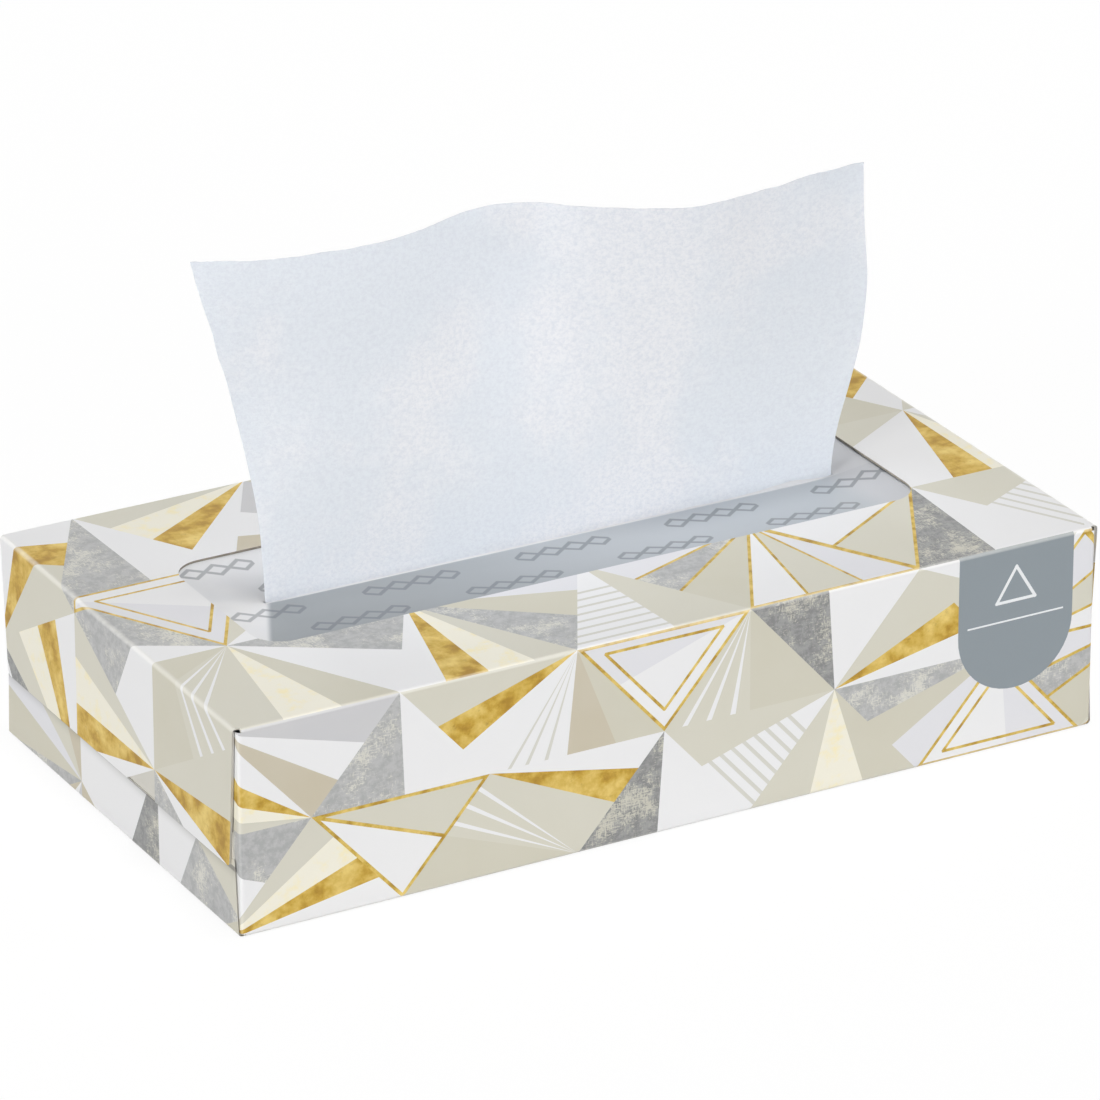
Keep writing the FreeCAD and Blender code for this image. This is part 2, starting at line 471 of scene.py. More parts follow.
def panelShapes(face, side):
    # the convex parts of a panel: its sleeve part, and with side +1 or -1 one end's flap
    low, high = starts[face], starts[face + 1]
    lowIn, highIn = low + board["relief"], high - board["relief"]
    root = endAt[face]
    if side == 0:
        sleeve = length / 2 - 2 * board["thick"] - board["fold"]
        return [[(-sleeve, low), (sleeve, low), (sleeve, high), (-sleeve, high)],
                [(sleeve, lowIn), (root, lowIn), (root, highIn), (sleeve, highIn)],
                [(-root, lowIn), (-sleeve, lowIn), (-sleeve, highIn), (-root, highIn)]]
    tip, bend = root + board["flapDepth"][face], root + board["fold"]
    draw, corner = board["taper"][face], board["corner"][face]
    blunt = board["blunt"] * corner
    shapes = [[(root, lowIn), (bend, lowIn), (bend, highIn), (root, highIn)],
              [(bend, lowIn), (tip - corner, lowIn + draw), (tip - blunt, lowIn + draw + blunt),
               (tip, lowIn + draw + corner), (tip, highIn - draw - corner),
               (tip - blunt, highIn - draw - blunt), (tip - corner, highIn - draw), (bend, highIn)]]
    return [turned([(side * u, s) for u, s in shape]) for shape in shapes]


def windowShape(steps=8):
    long, wide, radius = board["window"]
    points = []
    for k in range(4):
        cx = (long / 2 - radius) * (1 if k in (0, 3) else -1)
        cy = width / 2 + (wide / 2 - radius) * (1 if k < 2 else -1)
        for step in range(steps + 1):
            angle = math.pi / 2 * (k + step / steps)
            points.append((cx + radius * math.cos(angle), cy + radius * math.sin(angle)))
    return turned(points)


tab = {"from": 76.7, "to": 108.9, "straight": 21.2, "lap": 0.4, "steps": 24,
       "rule": {"down": 19.2, "inset": 2.6, "line": 0.45},
       "mark": {"tip": 5.4, "foot": 14.2, "half": 5.4, "line": 0.8, "past": 0.35}}


def badge(facets):
    # a plain slate tab hanging from the front's top edge, with a hairline rule and a small triangle
    left, right, edge = tab["from"], tab["to"], starts[1]
    radius, middle = (right - left) / 2, (left + right) / 2
    shape = [(left, edge - tab["lap"]), (right, edge - tab["lap"])]
    for k in range(tab["steps"] + 1):
        angle = math.pi * k / tab["steps"]
        shape.append((middle + radius * math.cos(angle), edge + tab["straight"] + radius * math.sin(angle)))
    facets = paint(facets, shape, "slateTab")
    rule, mark = tab["rule"], tab["mark"]
    down = edge + rule["down"]
    facets = paint(facets, band((left + rule["inset"], down), (right - rule["inset"], down), rule["line"]),
                   "tabRule")
    triangle = [(middle - mark["half"], edge + mark["foot"]), (middle + mark["half"], edge + mark["foot"]),
                (middle, edge + mark["tip"])]
    return outline(facets, triangle, mark["line"], mark["past"], "tabRule")


def strips(shapes, face):
    # cut along the folds and along the top flap's curve, so that each strip bends over them
    fold, parts, root = board["fold"], board["foldParts"], endAt[face]
    cuts = [(0, side * (root + fold * k / parts)) for side in (-1, 1) for k in range(-parts, parts + 1)]
    if face == 0:
        cuts += [(0, side * (root + depth)) for side in (-1, 1) for depth in board["flapCuts"]]
    cuts += [(1, edge + lead * fold * k / parts)
             for edge, lead in ((starts[face], 1), (starts[face + 1], -1)) for k in range(1, parts + 1)]
    for axis, at in cuts:
        line = ((0.0, at), (1.0, at)) if axis else ((at, 0.0), (at, 1.0))
        done = []
        for shape, ink in shapes:
            values = [p[axis] for p in shape]
            if min(values) < at - hair and max(values) > at + hair:
                done += [(part, ink) for part in split(shape, *line) if part]
            else:
                done.append((shape, ink))
        shapes = done
    return shapes


inkTones = {
    "white": (237, 237, 238), "pearl": (226, 226, 230), "greige": (212, 209, 194), "sand": (206, 202, 184),
    "tan": (198, 188, 165), "cream": (242, 238, 222), "ash": (201, 201, 205), "silver": (170, 171, 171),
    "slate": (132, 133, 133), "gold": (199, 162, 58), "foil": (202, 170, 68), "rule": (212, 211, 203),
    "slateTab": (140, 149, 155), "tabRule": (236, 238, 240)}
inkNames = tuple(inkTones)
# blotch and speck of the worn metal inks
wornInks = {"silver": ((194, 194, 194), (224, 222, 211)), "slate": ((164, 164, 163), (214, 211, 196))}
worn = {"patch": 8.0, "scratches": ((54, 270, 1), (250, 64, 1)), "blotch": 38.0, "blotched": 0.75,
        "specks": 0.8, "rough": 0.38}
# scale of the clouds in the two marbled inks
goldInks = {"gold": 14.0, "foil": 24.0}
marble = {"light": (231, 204, 118), "dark": (163, 123, 28), "stain": (148, 109, 26), "stainScale": 33.0,
          "darkened": 0.85, "stained": 0.6, "metal": 0.15}
creamWash = {"tone": (246, 234, 186), "scale": 20.0, "share": 0.8}
paleWash = {"tone": (222, 220, 212), "scale": 6.0, "share": 0.3,
            "inks": ("greige", "sand", "tan", "ash", "rule")}
varnish = {"rough": 0.42, "grain": 180.0, "grainTone": (190, 190, 188), "grainShare": 0.05,
           "grainRough": 0.12, "bump": (0.00003, 0.5)}
foldWearAndHighlight = {"tone": (234, 233, 227), "scale": 60.0, "gain": 1.4, "least": 0.45, "broken": 0.5, "share": 0.6}
# painted shade: the lower flap's skin lies between these two depths in from the box's end, in the top flap's
# shade
flapShade = {"tone": (112, 110, 104), "depths": (0.2, 0.7), "sharp": 10.0, "above": (0.5, 4.0),
             "soft": (0.6, 3.4, 0.36), "line": (0.7, 0.35, 0.45)}


def inkColour(finish, plane, name):
    # an ink's tone with its own mottle
    colour = tone(*inkTones[name])
    if name in wornInks:
        # fine crossed scratches that break up into pale specks
        blotch, speck = (tone(*shade) for shade in wornInks[name])
        patch = finish.cloud(plane, worn["patch"], detail=4.0, rough=0.65)
        one, two = (finish.cloud(finish.stretch(plane, scale), 1.0, detail=4.0, rough=0.75)
                    for scale in worn["scratches"])
        wear = (one.math("MAXIMUM", two) + patch * 0.8).ramp(0.95, 1.06)
        deep = finish.cloud(plane, worn["blotch"], detail=4.0, rough=0.75).ramp(0.38, 0.62)
        colour = finish.mix(deep * worn["blotched"], colour, blotch)
        colour = finish.mix(wear * worn["specks"], colour, speck)
    elif name in goldInks:
        light, dark, stainTone = (tone(*marble[k]) for k in ("light", "dark", "stain"))
        cloud = finish.cloud(plane, goldInks[name], detail=5.0, rough=0.6)
        stain = finish.cloud(plane, marble["stainScale"], detail=4.0, rough=0.7).ramp(0.57, 0.76)
        colour = finish.mix(cloud.ramp(0.42, 0.7), colour, light)
        colour = finish.mix((1.0 - cloud.ramp(0.33, 0.5)) * marble["darkened"], colour, dark)
        colour = finish.mix(stain * marble["stained"], colour, stainTone)
    elif name == "cream":
        wash = finish.cloud(plane, creamWash["scale"], detail=4.0, rough=0.65).ramp(0.48, 0.72)
        colour = finish.mix(wash * creamWash["share"], colour, tone(*creamWash["tone"]))
    elif name in paleWash["inks"]:
        wash = finish.cloud(plane, paleWash["scale"], detail=2.0)
        colour = finish.mix(wash * paleWash["share"], colour, tone(*paleWash["tone"]))
    return colour


def foldMask(finish, plane, x, y, z):
    # pale along the folds: partly the varnish cracking a little there, partly a painted highlight
    fold = board["fold"]

    def near(value, edge):
        return ((abs(value) - (edge - fold)) / fold).unit()
    acrossY = near(y, width / 2)
    acrossZ = near(z - height / 2, height / 2)
    atEnd = near(x, length / 2 - board["thick"])
    crack = (acrossY * acrossZ).math("MAXIMUM", (acrossY * atEnd).math("MAXIMUM", acrossZ * atEnd))
    broken = foldWearAndHighlight["least"] + finish.cloud(plane, foldWearAndHighlight["scale"], detail=3.0) * foldWearAndHighlight["broken"]
    return (crack * foldWearAndHighlight["gain"]).unit() * broken


def flapMask(x, z):
    # painted shade on the lower flap: a dark line at the top flap's edge and a soft shade below it
    skin, deep = flapShade["depths"]
    inside = length / 2 - abs(x)
    lower = ((deep - inside) * flapShade["sharp"]).unit() * ((inside - skin) * flapShade["sharp"]).unit()
    down = (height - board["flapDepth"][0]) - z
    above, steep = flapShade["above"]
    lower = lower * ((down + above) * steep).unit()
    softAt, softReach, softShare = flapShade["soft"]
    lineAt, lineReach, lineShare = flapShade["line"]
    soft = 1.0 - ((down - softAt) / softReach).unit()
    line = 1.0 - ((down - lineAt) / lineReach).unit()
    return lower * (soft * soft * softShare + line * lineShare)


def printFinish(name):
    rough = worn["rough"] if name in wornInks else varnish["rough"]
    finish = Finish("print_" + name, Specular_IOR_Level=0.3)
    plane = finish.node("ShaderNodeUVMap", {"uv_map": "plane"})["UV"]
    x, y, z = (value / mm for value in finish.position()[1].values())
    grain = finish.cloud(plane, varnish["grain"], detail=4.0, rough=0.6)
    colour = inkColour(finish, plane, name)
    # pale fold line: worn varnish and painted highlight along the folds
    wear = foldMask(finish, plane, x, y, z) * foldWearAndHighlight["share"]
    colour = finish.mix(wear, colour, tone(*foldWearAndHighlight["tone"]))
    colour = finish.mix(grain * varnish["grainShare"], colour, tone(*varnish["grainTone"]))
    # painted shade on the lower flap, under the top flap's edge
    colour = finish.mix(flapMask(x, z), colour, tone(*flapShade["tone"]))
    finish.set(Base_Color=colour, Roughness=rough + grain * varnish["grainRough"])
    if name in goldInks:
        finish.set(Metallic=marble["metal"])
    finish.bump(grain, *varnish["bump"])
    return finish


# a panel or flap on its piece's bake map: a margin round it, and for flaps how far down each one lies
bakeSheet = {"margin": 1.0, "room": 4.0, "shelf": (2.0, 60.0, 42.0, 70.0)}
planeUnit = 100.0   # mm to one unit of the plane map


def bakePlace(face, side, u, s):
    down = s - starts[face] + bakeSheet["margin"]
    if side == 0:
        reach = length + bakeSheet["room"]
        return (u + length / 2 + bakeSheet["margin"]) / reach, down / reach
    reach = width + bakeSheet["room"]
    return down / reach, (abs(u) - endAt[face] + bakeSheet["shelf"][face]) / reach


def printPiece(name, parts, inks):
    points, normals, faces, slots, bakeMap, planeMap = [], [], [], [], [], []
    for face, side, shapes in parts:
        for shape, ink in shapes:
            first = len(points)
            for u, s in shape:
                point, normal = place(face, u, s)
                points.append(point)
                normals.append(normal)
                bakeMap.append(bakePlace(face, side, u, s))
                planeMap.append((u / planeUnit, s / planeUnit))
            faces.append(tuple(range(first, len(points))))
            slots.append(inkNames.index(ink))
    used = sorted(set(slots))
    piece = meshPiece(name, points, faces, [inks[inkNames[k]] for k in used], [used.index(k) for k in slots])
    mesh = piece.data
    for layerName, values in (("OFBake", bakeMap), ("plane", planeMap)):
        layer = mesh.uv_layers.new(name=layerName)
        for loop in mesh.loops:
            layer.data[loop.index].uv = values[loop.vertex_index]
    mesh.normals_split_custom_set_from_vertices(normals)
    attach(piece, "root")
    return piece


def buildPrint():
    inks = {name: printFinish(name) for name in inkNames}
    facets = badge(lattice())
    window = windowShape()
    names = ("print_top", "print_front", "print_bottom", "print_back")
    ends = {-1: [], 1: []}
    made = []
    for face in range(4):
        for side in (0, -1, 1):
            shapes = []
            for region in panelShapes(face, side):
                for shape, ink in facets:
                    inside = carve(shape, region)[1]
                    if inside:
                        shapes.append((inside, ink))
            if face == 0 and side == 0:
                shapes = [(part, ink) for shape, ink in shapes for part in carve(shape, window)[0]]
            # the plane is drawn as seen from inside the box
            shapes = [(shape[::-1], ink) for shape, ink in strips(shapes, face)]
            if side == 0:
                made.append(printPiece(names[face], [(face, side, shapes)], inks))
            else:
                ends[side].append((face, side, shapes))
    made.append(printPiece("print_left", ends[-1], inks))
    made.append(printPiece("print_right", ends[1], inks))
    return made


for piece in buildPrint():
    print(piece.name, len(piece.data.polygons), "facets")


rawBoard = {"light": (166, 159, 148), "dark": (140, 133, 123), "fleck": (116, 108, 99), "flecks": 0.5,
            "endPaleTone": (222, 220, 212), "endPaler": 0.85, "endPaleFrom": (6.0, 2.0), "bump": (0.00008, 0.5)}


def boardFinish():
    # grey board, paler close to the box's ends
    finish = Finish("raw_board", Roughness=0.9, Specular_IOR_Level=0.2)
    point, at = finish.position()
    fibre = finish.cloud(finish.stretch(point, (260, 900, 900)), 1.0, detail=4.0, rough=0.7)
    fleck = finish.cloud(point, 700.0, detail=3.0, rough=0.6).ramp(0.6, 0.75)
    colour = finish.mix(fibre.ramp(0.3, 0.75), tone(*rawBoard["dark"]), tone(*rawBoard["light"]))
    colour = finish.mix(fleck * rawBoard["flecks"], colour, tone(*rawBoard["fleck"]))
    deep, shallow = rawBoard["endPaleFrom"]
    endPaler = (abs(at["X"]) / mm).ramp(length / 2 - deep, length / 2 - shallow)
    colour = finish.mix(endPaler * rawBoard["endPaler"], colour, tone(*rawBoard["endPaleTone"]))
    finish.set(Base_Color=colour)
    finish.bump(fibre, *rawBoard["bump"])
    return finish


# edge and gap are depths in from the box's end; the gap is a strip of painted shade, paler toward the top
rawEdge = {"inset": 1.3, "lap": 0.02, "under": 0.01, "edge": 0.6, "gap": 0.8, "steps": 12, "short": 0.4,
           "corner": 1.2, "gapShadeTones": ((116, 114, 110), (142, 139, 134)), "gapShadeTop": (238, 237, 232),
           "fades": (24.0, 38.0)}


# painted shade: the colour of the dark strip that stands in for the gap, paler toward the top
def paintedGapShade():
    finish = Finish("gap_shade", Roughness=1.0, Specular_IOR_Level=0.0)
    point, at = finish.position()
    dark, light = (tone(*shade) for shade in rawEdge["gapShadeTones"])
    grey = finish.mix(finish.cloud(point, 300.0, detail=2.0), dark, light)
    up = (at["Z"] / mm).ramp(*rawEdge["fades"])
    finish.set(Base_Color=finish.mix(up, grey, tone(*rawEdge["gapShadeTop"])))
    return finish


def flapEdges(raw):
    # the cut edges of the top flap at both ends, with a strip of painted shade for the gap behind them
    fold, depth, taper = board["fold"], board["flapDepth"][0], board["taper"][0]
    root = width / 2 - rawEdge["inset"]
    steps, end = rawEdge["steps"], endAt[0]
    stops = [2 * fold + (depth - rawEdge["short"] - fold) * k / steps for k in range(steps + 1)]
    points, faces, slots = [], [], []

    def skin(past):
        return end + spring(past) + board["ink"] - rawEdge["under"]

    def strip(rows, facing):
        # three points a row: the board's edge between the first two, the gap's painted shade between the last
        # two
        first = len(points)
        for row in rows:
            points.extend(row)
        for k in range(len(rows) - 1):
            for part in range(2):
                corner = first + 3 * k + part
                faces.append((corner, corner + 1, corner + 4, corner + 3)[::facing])
                slots.append(part)
    for side in (-1, 1):
        for front in (-1, 1):
            rows = []
            for past in stops:
                y = front * (root + rawEdge["lap"] - taper * (past - fold) / depth)
                z = height - past + fold
                rows.append([(side * x, y, z)
                             for x in (skin(past), end - rawEdge["edge"], end - rawEdge["gap"])])
            strip(rows, -side * front)
        past = stops[-1]
        z = height - past + fold
        wide = root - taper - rawEdge["corner"]
        depths = (skin(past), skin(past) - board["thick"], end - board["thick"] + rawEdge["lap"])
        strip([[(side * x, y, z) for x in depths] for y in (-wide, wide)], side)
    piece = meshPiece("flap_edges", points, faces, [raw, paintedGapShade()], slots, smooth=False)
    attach(piece, "root")


grey = boardFinish()
flapEdges(grey)
dress("carton", grey)
print("board done")


# the slit film

# pitch along and across, half a chain's run, a link's length and half height, the stroke's soft edge
film = {"pitch": (41.0, 13.5), "run": 13.0, "runOff": 0.3, "link": (6.5, 2.6), "stroke": (0.5, 0.95),
        "ink": 0.66, "inkTone": (140, 144, 150), "shadedInkTone": (118, 124, 131),
        "tones": ((241, 242, 245), (247, 247, 248)), "haze": 40.0, "rough": (0.24, 0.15),
        "creases": ((34, 70, 34), 20), "bump": (0.001, 0.4)}
# painted shade on the film, standing in for the tissue's shadow: darker in front of the slit, past its right
# end, and less behind it
paintedFilmShade = {"front": 0.4, "soft": 0.8, "frontFrom": (-76.5, -74.5), "frontSlant": 0.49,
           "behind": (0.4, 1.2), "behindFrom": (-66.0, -58.0), "behindSlant": 0.75, "behindShare": 0.55,
           "right": (74.0, 82.0), "rightShare": 0.9, "across": (-60.0, 40.0),
           "tones": ((166, 171, 175), (198, 204, 210)), "rightShadeTone": (207, 209, 214)}


def chains(x, y):
    # short chains of lozenges, shifted by half a pitch in every other row
    pitch, rowPitch = film["pitch"]
    link, tall = film["link"]
    run = film["run"]
    # whole rows, pitches and links are added, so that nothing is negative
    down = y + rowPitch * 20
    row = (down / rowPitch).math("FLOOR")
    across = (x + pitch * 10 + row.math("MODULO", 2.0) * (pitch / 2)).math("MODULO", pitch) - pitch / 2
    up = down - (row + 0.5) * rowPitch
    side = abs((across / link + 20.5).math("FRACT") - 0.5) * (2 * tall)
    stroke = 1.0 - abs(abs(up) - side).ramp(*film["stroke"])
    return stroke * (1.0 - abs(across).ramp(run - film["runOff"], run))


def filmFinish():
    finish = Finish("milky_film", Specular_IOR_Level=0.5, Alpha=0.86)
    point, at = finish.position()
    x, y = at["X"] / mm, at["Y"] / mm
    haze = finish.cloud(point, film["haze"], detail=3.0)
    colour = finish.mix(haze.ramp(0.35, 0.65), *(tone(*shade) for shade in film["tones"]))
    # mask of the painted shadow in front of the slit, with a slanted left edge
    front = (-paintedFilmShade["front"] - y).ramp(0.0, paintedFilmShade["soft"])
    front = front * (x - y * paintedFilmShade["frontSlant"]).ramp(*paintedFilmShade["frontFrom"])
    behind = y.ramp(*paintedFilmShade["behind"]) * (x - y * paintedFilmShade["behindSlant"]).ramp(*paintedFilmShade["behindFrom"])
    right = x.ramp(*paintedFilmShade["right"])
    # the painted shade's colour, lighter toward the right
    gap = finish.mix(x.ramp(*paintedFilmShade["across"]), *(tone(*shade) for shade in paintedFilmShade["tones"]))
    gap = finish.mix(right, gap, tone(*paintedFilmShade["rightShadeTone"]))
    over = (right * paintedFilmShade["rightShare"]).math("MAXIMUM", behind * paintedFilmShade["behindShare"])
    colour = finish.mix(front.math("MAXIMUM", over), colour, gap)
    # the marks are darker in the painted shade
    ink = finish.mix(front, tone(*film["inkTone"]), tone(*film["shadedInkTone"]))
    colour = finish.mix(chains(x, y) * film["ink"], colour, ink)
    rough, uneven = film["rough"]
    finish.set(Base_Color=colour, Roughness=rough + haze * uneven)
    creases = finish.cloud(finish.stretch(point, *film["creases"]), 1.0, detail=1.0)
    finish.bump(creases, *film["bump"])
    return finish


def ripple(waves, x, z=0.0):
    # soft noise in several waves: length along x, length along z, where in the noise, depth
    return sum(noise.noise(Vector((x / long, row, z / tall))) * deep for long, tall, row, deep in waves)


milky = filmFinish()
dress("window_film", milky)

# raised: where along the slit, how far it spreads, how high
lip = {"from": -74.5, "to": 77.0, "columns": 90, "place": -0.42, "low": 0.2, "uneven": 1.2,
       "waves": ((7.0, 1.0, 4.0, 1.0),), "raised": (70.0, 10.0, 1.15), "ease": 6, "thick": 0.08,
       "root": (0.12, 0.04), "middle": (0.02, 0.6), "top": 0.02, "look": (0.1, 200.0)}


def slitLip():
    # the film's cut edge turned up a little in front of the tissue, more toward the right
    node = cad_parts["window_film"]
    points, last = [], lip["columns"] - 1
    middle, spread, rise = lip["raised"]
    inFront, above = lip["look"]
    for c in range(last + 1):
        x, y = lip["from"] + (lip["to"] - lip["from"]) * c / last, lip["place"]
        base = node.ray_cast(Vector((x, y - inFront, above)) * mm, Vector((0, 0, -1)))[1].z / mm
        end = min(1.0, c / lip["ease"], (last - c) / lip["ease"])
        tall = lip["low"] * (lip["uneven"] + ripple(lip["waves"], x))
        tall = (tall + rise * math.exp(-((x - middle) / spread) ** 2)) * end
        points += [(x, y - lip["root"][0], base - lip["root"][1]),
                   (x, y - lip["middle"][0], base + tall * lip["middle"][1]),
                   (x, y, base + tall + lip["top"])]
    faces = [(3 * c + k, 3 * c + k + 3, 3 * c + k + 4, 3 * c + k + 1) for c in range(last) for k in range(2)]
    return thicken(meshPiece("slit_lip", points, faces, [milky]), lip["thick"])


slitLip()
print("film done")


# the tissues

paper = {"tones": ((231, 236, 242), (242, 242, 245)), "fibreTone": (222, 226, 234), "patch": 22.0,
         "patched": 0.75, "fibred": 0.85, "fibre": (900, 900, 1100), "crepe": (330, 330, 1700),
         "bump": (0.00022, 0.6), "paler": ((-14.0, 2.0), (28.0, 44.0), 0.11)}


def tissueFinish(name, through):
    # through is the share of light that passes the sheet
    finish = Finish(name, Roughness=0.95, Specular_IOR_Level=0.15, Sheen_Weight=0.15, Sheen_Roughness=0.5)
    point, at = finish.position()
    x = at["X"] / mm
    # painted light: paler down the middle, where the sheet turns to the light
    leftEdge, rightEdge, paler = paper["paler"]
    middle = x.ramp(*leftEdge) * (1.0 - x.ramp(*rightEdge))
    patch = finish.cloud(point, paper["patch"], detail=5.0, rough=0.62) + middle * paler
    fibre = finish.cloud(finish.stretch(point, paper["fibre"]), 1.0, detail=4.0, rough=0.8)
    crepe = finish.cloud(finish.stretch(point, paper["crepe"]), 1.0, detail=2.0)
    patch = patch.ramp(0.45, 0.64) * paper["patched"]
    colour = finish.mix(patch, *(tone(*shade) for shade in paper["tones"]))
    colour = finish.mix(fibre.ramp(0.36, 0.7) * paper["fibred"], colour, tone(*paper["fibreTone"]))
    finish.set(Base_Color=colour)
    finish.bump(fibre * 0.6 + crepe * 0.5, *paper["bump"])
    if through:
        glow = finish.node("ShaderNodeBsdfTranslucent", None, {"Color": colour})["BSDF"]
        finish.show(finish.blend(through, finish.shaded, glow))
    return finish


def curve(table, value):
    # smooth curve through pairs of numbers
    last = len(table) - 1
    if value <= table[0][0]:
        return table[0][1]
    if value >= table[last][0]:
        return table[last][1]
    k = next(i for i in range(last) if table[i + 1][0] >= value)
    (x0, y0), (x1, y1) = table[k], table[k + 1]

    def slope(i):
        if 0 < i < last:
            return (table[i + 1][1] - table[i - 1][1]) / (table[i + 1][0] - table[i - 1][0])
        j = min(i, last - 1)
        return (table[j + 1][1] - table[j][1]) / (table[j + 1][0] - table[j][0])
    gap = x1 - x0
    t = (value - x0) / gap
    return ((2 * t ** 3 - 3 * t ** 2 + 1) * y0 + (t ** 3 - 2 * t ** 2 + t) * gap * slope(k)
            + (3 * t ** 2 - 2 * t ** 3) * y1 + (t ** 3 - t ** 2) * gap * slope(k + 1))


def shares(count):
    # even shares of a way, up to its end
    return [k / count for k in range(1, count + 1)]


stackLow, stackHigh = sizeOf("tissue_stack")
# left and right: the two side edges by height. back and up: how far the top edge stands back and up, from
# left to right. waves and fringe: as in ripple
popup = {
    "columns": 150, "rows": 96, "tall": 80.0, "thick": 0.2, "flat": (190.0, 213.0),
    "left": ((-6, -76.3), (0, -76.4), (8, -76.7), (18, -77.1), (32, -78.7), (43, -80.4), (53, -82.3),
             (58.6, -83.9), (64, -84.8), (69, -86.1), (74.6, -87.3), (78, -87.8), (82, -88.5)),
    "right": ((-6, 78.6), (0, 78.7), (10, 80.2), (22, 83.5), (33, 86.2), (48, 87.5), (60, 86.4),
              (70, 85.5), (80, 85.0)),
    "back": ((0, 11.4), (0.083, 6.1), (0.243, 4.7), (0.318, 6.1), (0.43, 9.8), (0.502, 8.3), (0.571, 2.5),
             (0.67, -3.4), (0.75, -5.8), (0.843, -4.5), (0.926, -2.3), (0.987, -1.9), (1.0, -2.6)),
    "up": ((0, 2.6), (0.05, 2.3), (0.083, 1.9), (0.145, 1.4), (0.243, 0.8), (0.318, 1.0), (0.43, 2.1),
           (0.502, 1.6), (0.571, 0.4), (0.67, -1.4), (0.72, -2.2), (0.77, -2.1), (0.82, -2.2),
           (0.864, -2.1), (0.91, -1.2), (0.96, -1.3), (1.0, -0.9)),
    "lean": 1.6,
    "waves": ((34.0, 46.0, 3.0, 1.5), (13.0, 30.0, 7.0, 0.4)), "wavesIn": 1.6,
    "gathers": (0.16, 9.0, 4),      # depth, length and how soon they fade above the slit
    "fringe": ((1.6, 1.0, 1.0, 0.12), (6.0, 1.0, 5.0, 0.2)), "fringeIn": 8,
    "nudge": -0.2, "nudgeIn": 3,    # toward the slit's front edge where it passes the film
    "gap": 0.35,                    # from one layer's middle to the next one's on the pack
    "drop": 3.0,                    # radius of the bend onto the pack
    "tail": 71.0,
    "steps": {"slit": 8, "bend": 6, "run": 12, "turn": 6, "tail": 8}}


def standingRows():
    # from the top edge down to the film, the sheet narrows and straightens
    rows = []
    columns, last = popup["columns"], popup["rows"] - 1
    deep, long, fade = popup["gathers"]
    for k in range(last + 1):
        share = 1 - k / last
        rise = popup["tall"] * share
        lift = share ** popup["lean"]
        left, right = curve(popup["left"], rise), curve(popup["right"], rise)
        row = []
        for c in range(columns):
            t = c / (columns - 1)
            x = left + (right - left) * t
            y = curve(popup["back"], t) * lift
            z = height + rise + curve(popup["up"], t) * lift
            y += ripple(popup["waves"], x, z) * min(1.0, share * popup["wavesIn"])
            y += deep * math.sin(x / long) * (1 - share) ** fade
            z += ripple(popup["fringe"], x) * share ** popup["fringeIn"]
            row.append((x, y, z))
        rows.append(row)
    return rows


def hiddenRows():
    # on down through the slit, forward over the pack and back between the next sheet's two layers
    gap, thick, drop, steps = popup["gap"], popup["thick"], popup["drop"], popup["steps"]
    over = stackHigh.z + 3 * gap + thick / 2
    under = stackHigh.z + gap + thick / 2
    bend = over + drop
    left, right, wide = popup["left"][0][1], popup["right"][0][1], stackHigh.x
    turn = (over - under) / 2
    edge = stackLow.y + turn + thick / 2

    def straight(x0, x1, y, z):
        last = popup["columns"] - 1
        return [(x0 + (x1 - x0) * c / last, y, z) for c in range(last + 1)]
    rows = []
    for share in shares(steps["slit"]):
        close = min(1.0, share * popup["nudgeIn"], (1 - share) * popup["nudgeIn"])
        rows.append(straight(left, right, popup["nudge"] * close, height + (bend - height) * share))
    for share in shares(steps["bend"]):
        angle = math.pi / 2 * share
        rows.append(straight(left, right, -drop * (1 - math.cos(angle)), bend - drop * math.sin(angle)))
    for share in shares(steps["run"]):
        rows.append(straight(left + (-wide - left) * share, right + (wide - right) * share,
                             -drop + (edge + drop) * share, over))
    for share in shares(steps["turn"]):
        angle = math.pi * share
        rows.append(straight(-wide, wide, edge - turn * math.sin(angle),
                             under + turn + turn * math.cos(angle)))
    for share in shares(steps["tail"]):
        rows.append(straight(-wide, wide, edge + popup["tail"] * share, under))
    return rows


def sheetPiece(name, rows, finish, thick):
    across = len(rows[0])
    points = [p for row in rows for p in row]
    faces = [(r * across + c, (r + 1) * across + c, (r + 1) * across + c + 1, r * across + c + 1)
             for r in range(len(rows) - 1) for c in range(across - 1)]
    return thicken(meshPiece(name, points, faces, [finish]), thick)


standing = sheetPiece("popup_sheet", standingRows() + hiddenRows(), tissueFinish("soft_tissue", 0.12),
                      popup["thick"])
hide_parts("popup_tissue")
print("standing tissue done")


nextSheet = {"columns": 60, "short": 0.3, "soft": 0.05, "wave": 22.0, "row": 2.0,
             "steps": {"over": 24, "turn": 6, "under": 12}}


def nextRows():
    # the next sheet, folded once at the back over the standing one's end
    gap, thick, steps = popup["gap"], popup["thick"], nextSheet["steps"]
    low = stackHigh.z + thick / 2
    high = low + 2 * gap
    turn = (high - low) / 2
    back = stackHigh.y - turn - thick / 2
    front = stackLow.y + gap + nextSheet["short"]
    wide, last = stackHigh.x, nextSheet["columns"] - 1

    def straight(y, z, soft=0.0):
        row = []
        for c in range(last + 1):
            x = -wide + 2 * wide * c / last
            at = Vector((x / nextSheet["wave"], y / nextSheet["wave"], nextSheet["row"]))
            row.append((x, y, z + soft * noise.noise(at)))
        return row
    rows = [straight(front + (back - front) * share, high, nextSheet["soft"])
            for share in [0.0] + shares(steps["over"])]
    for share in shares(steps["turn"])[:-1]:
        angle = math.pi * share
        rows.append(straight(back + turn * math.sin(angle), low + turn + turn * math.cos(angle)))
    rows += [straight(back + (stackLow.y - back) * share, low) for share in [0.0] + shares(steps["under"])]
    return rows


pulledNext = sheetPiece("next_sheet", nextRows(), tissueFinish("next_tissue_paper", 0.2), popup["thick"])
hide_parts("next_tissue")
print("next tissue done")


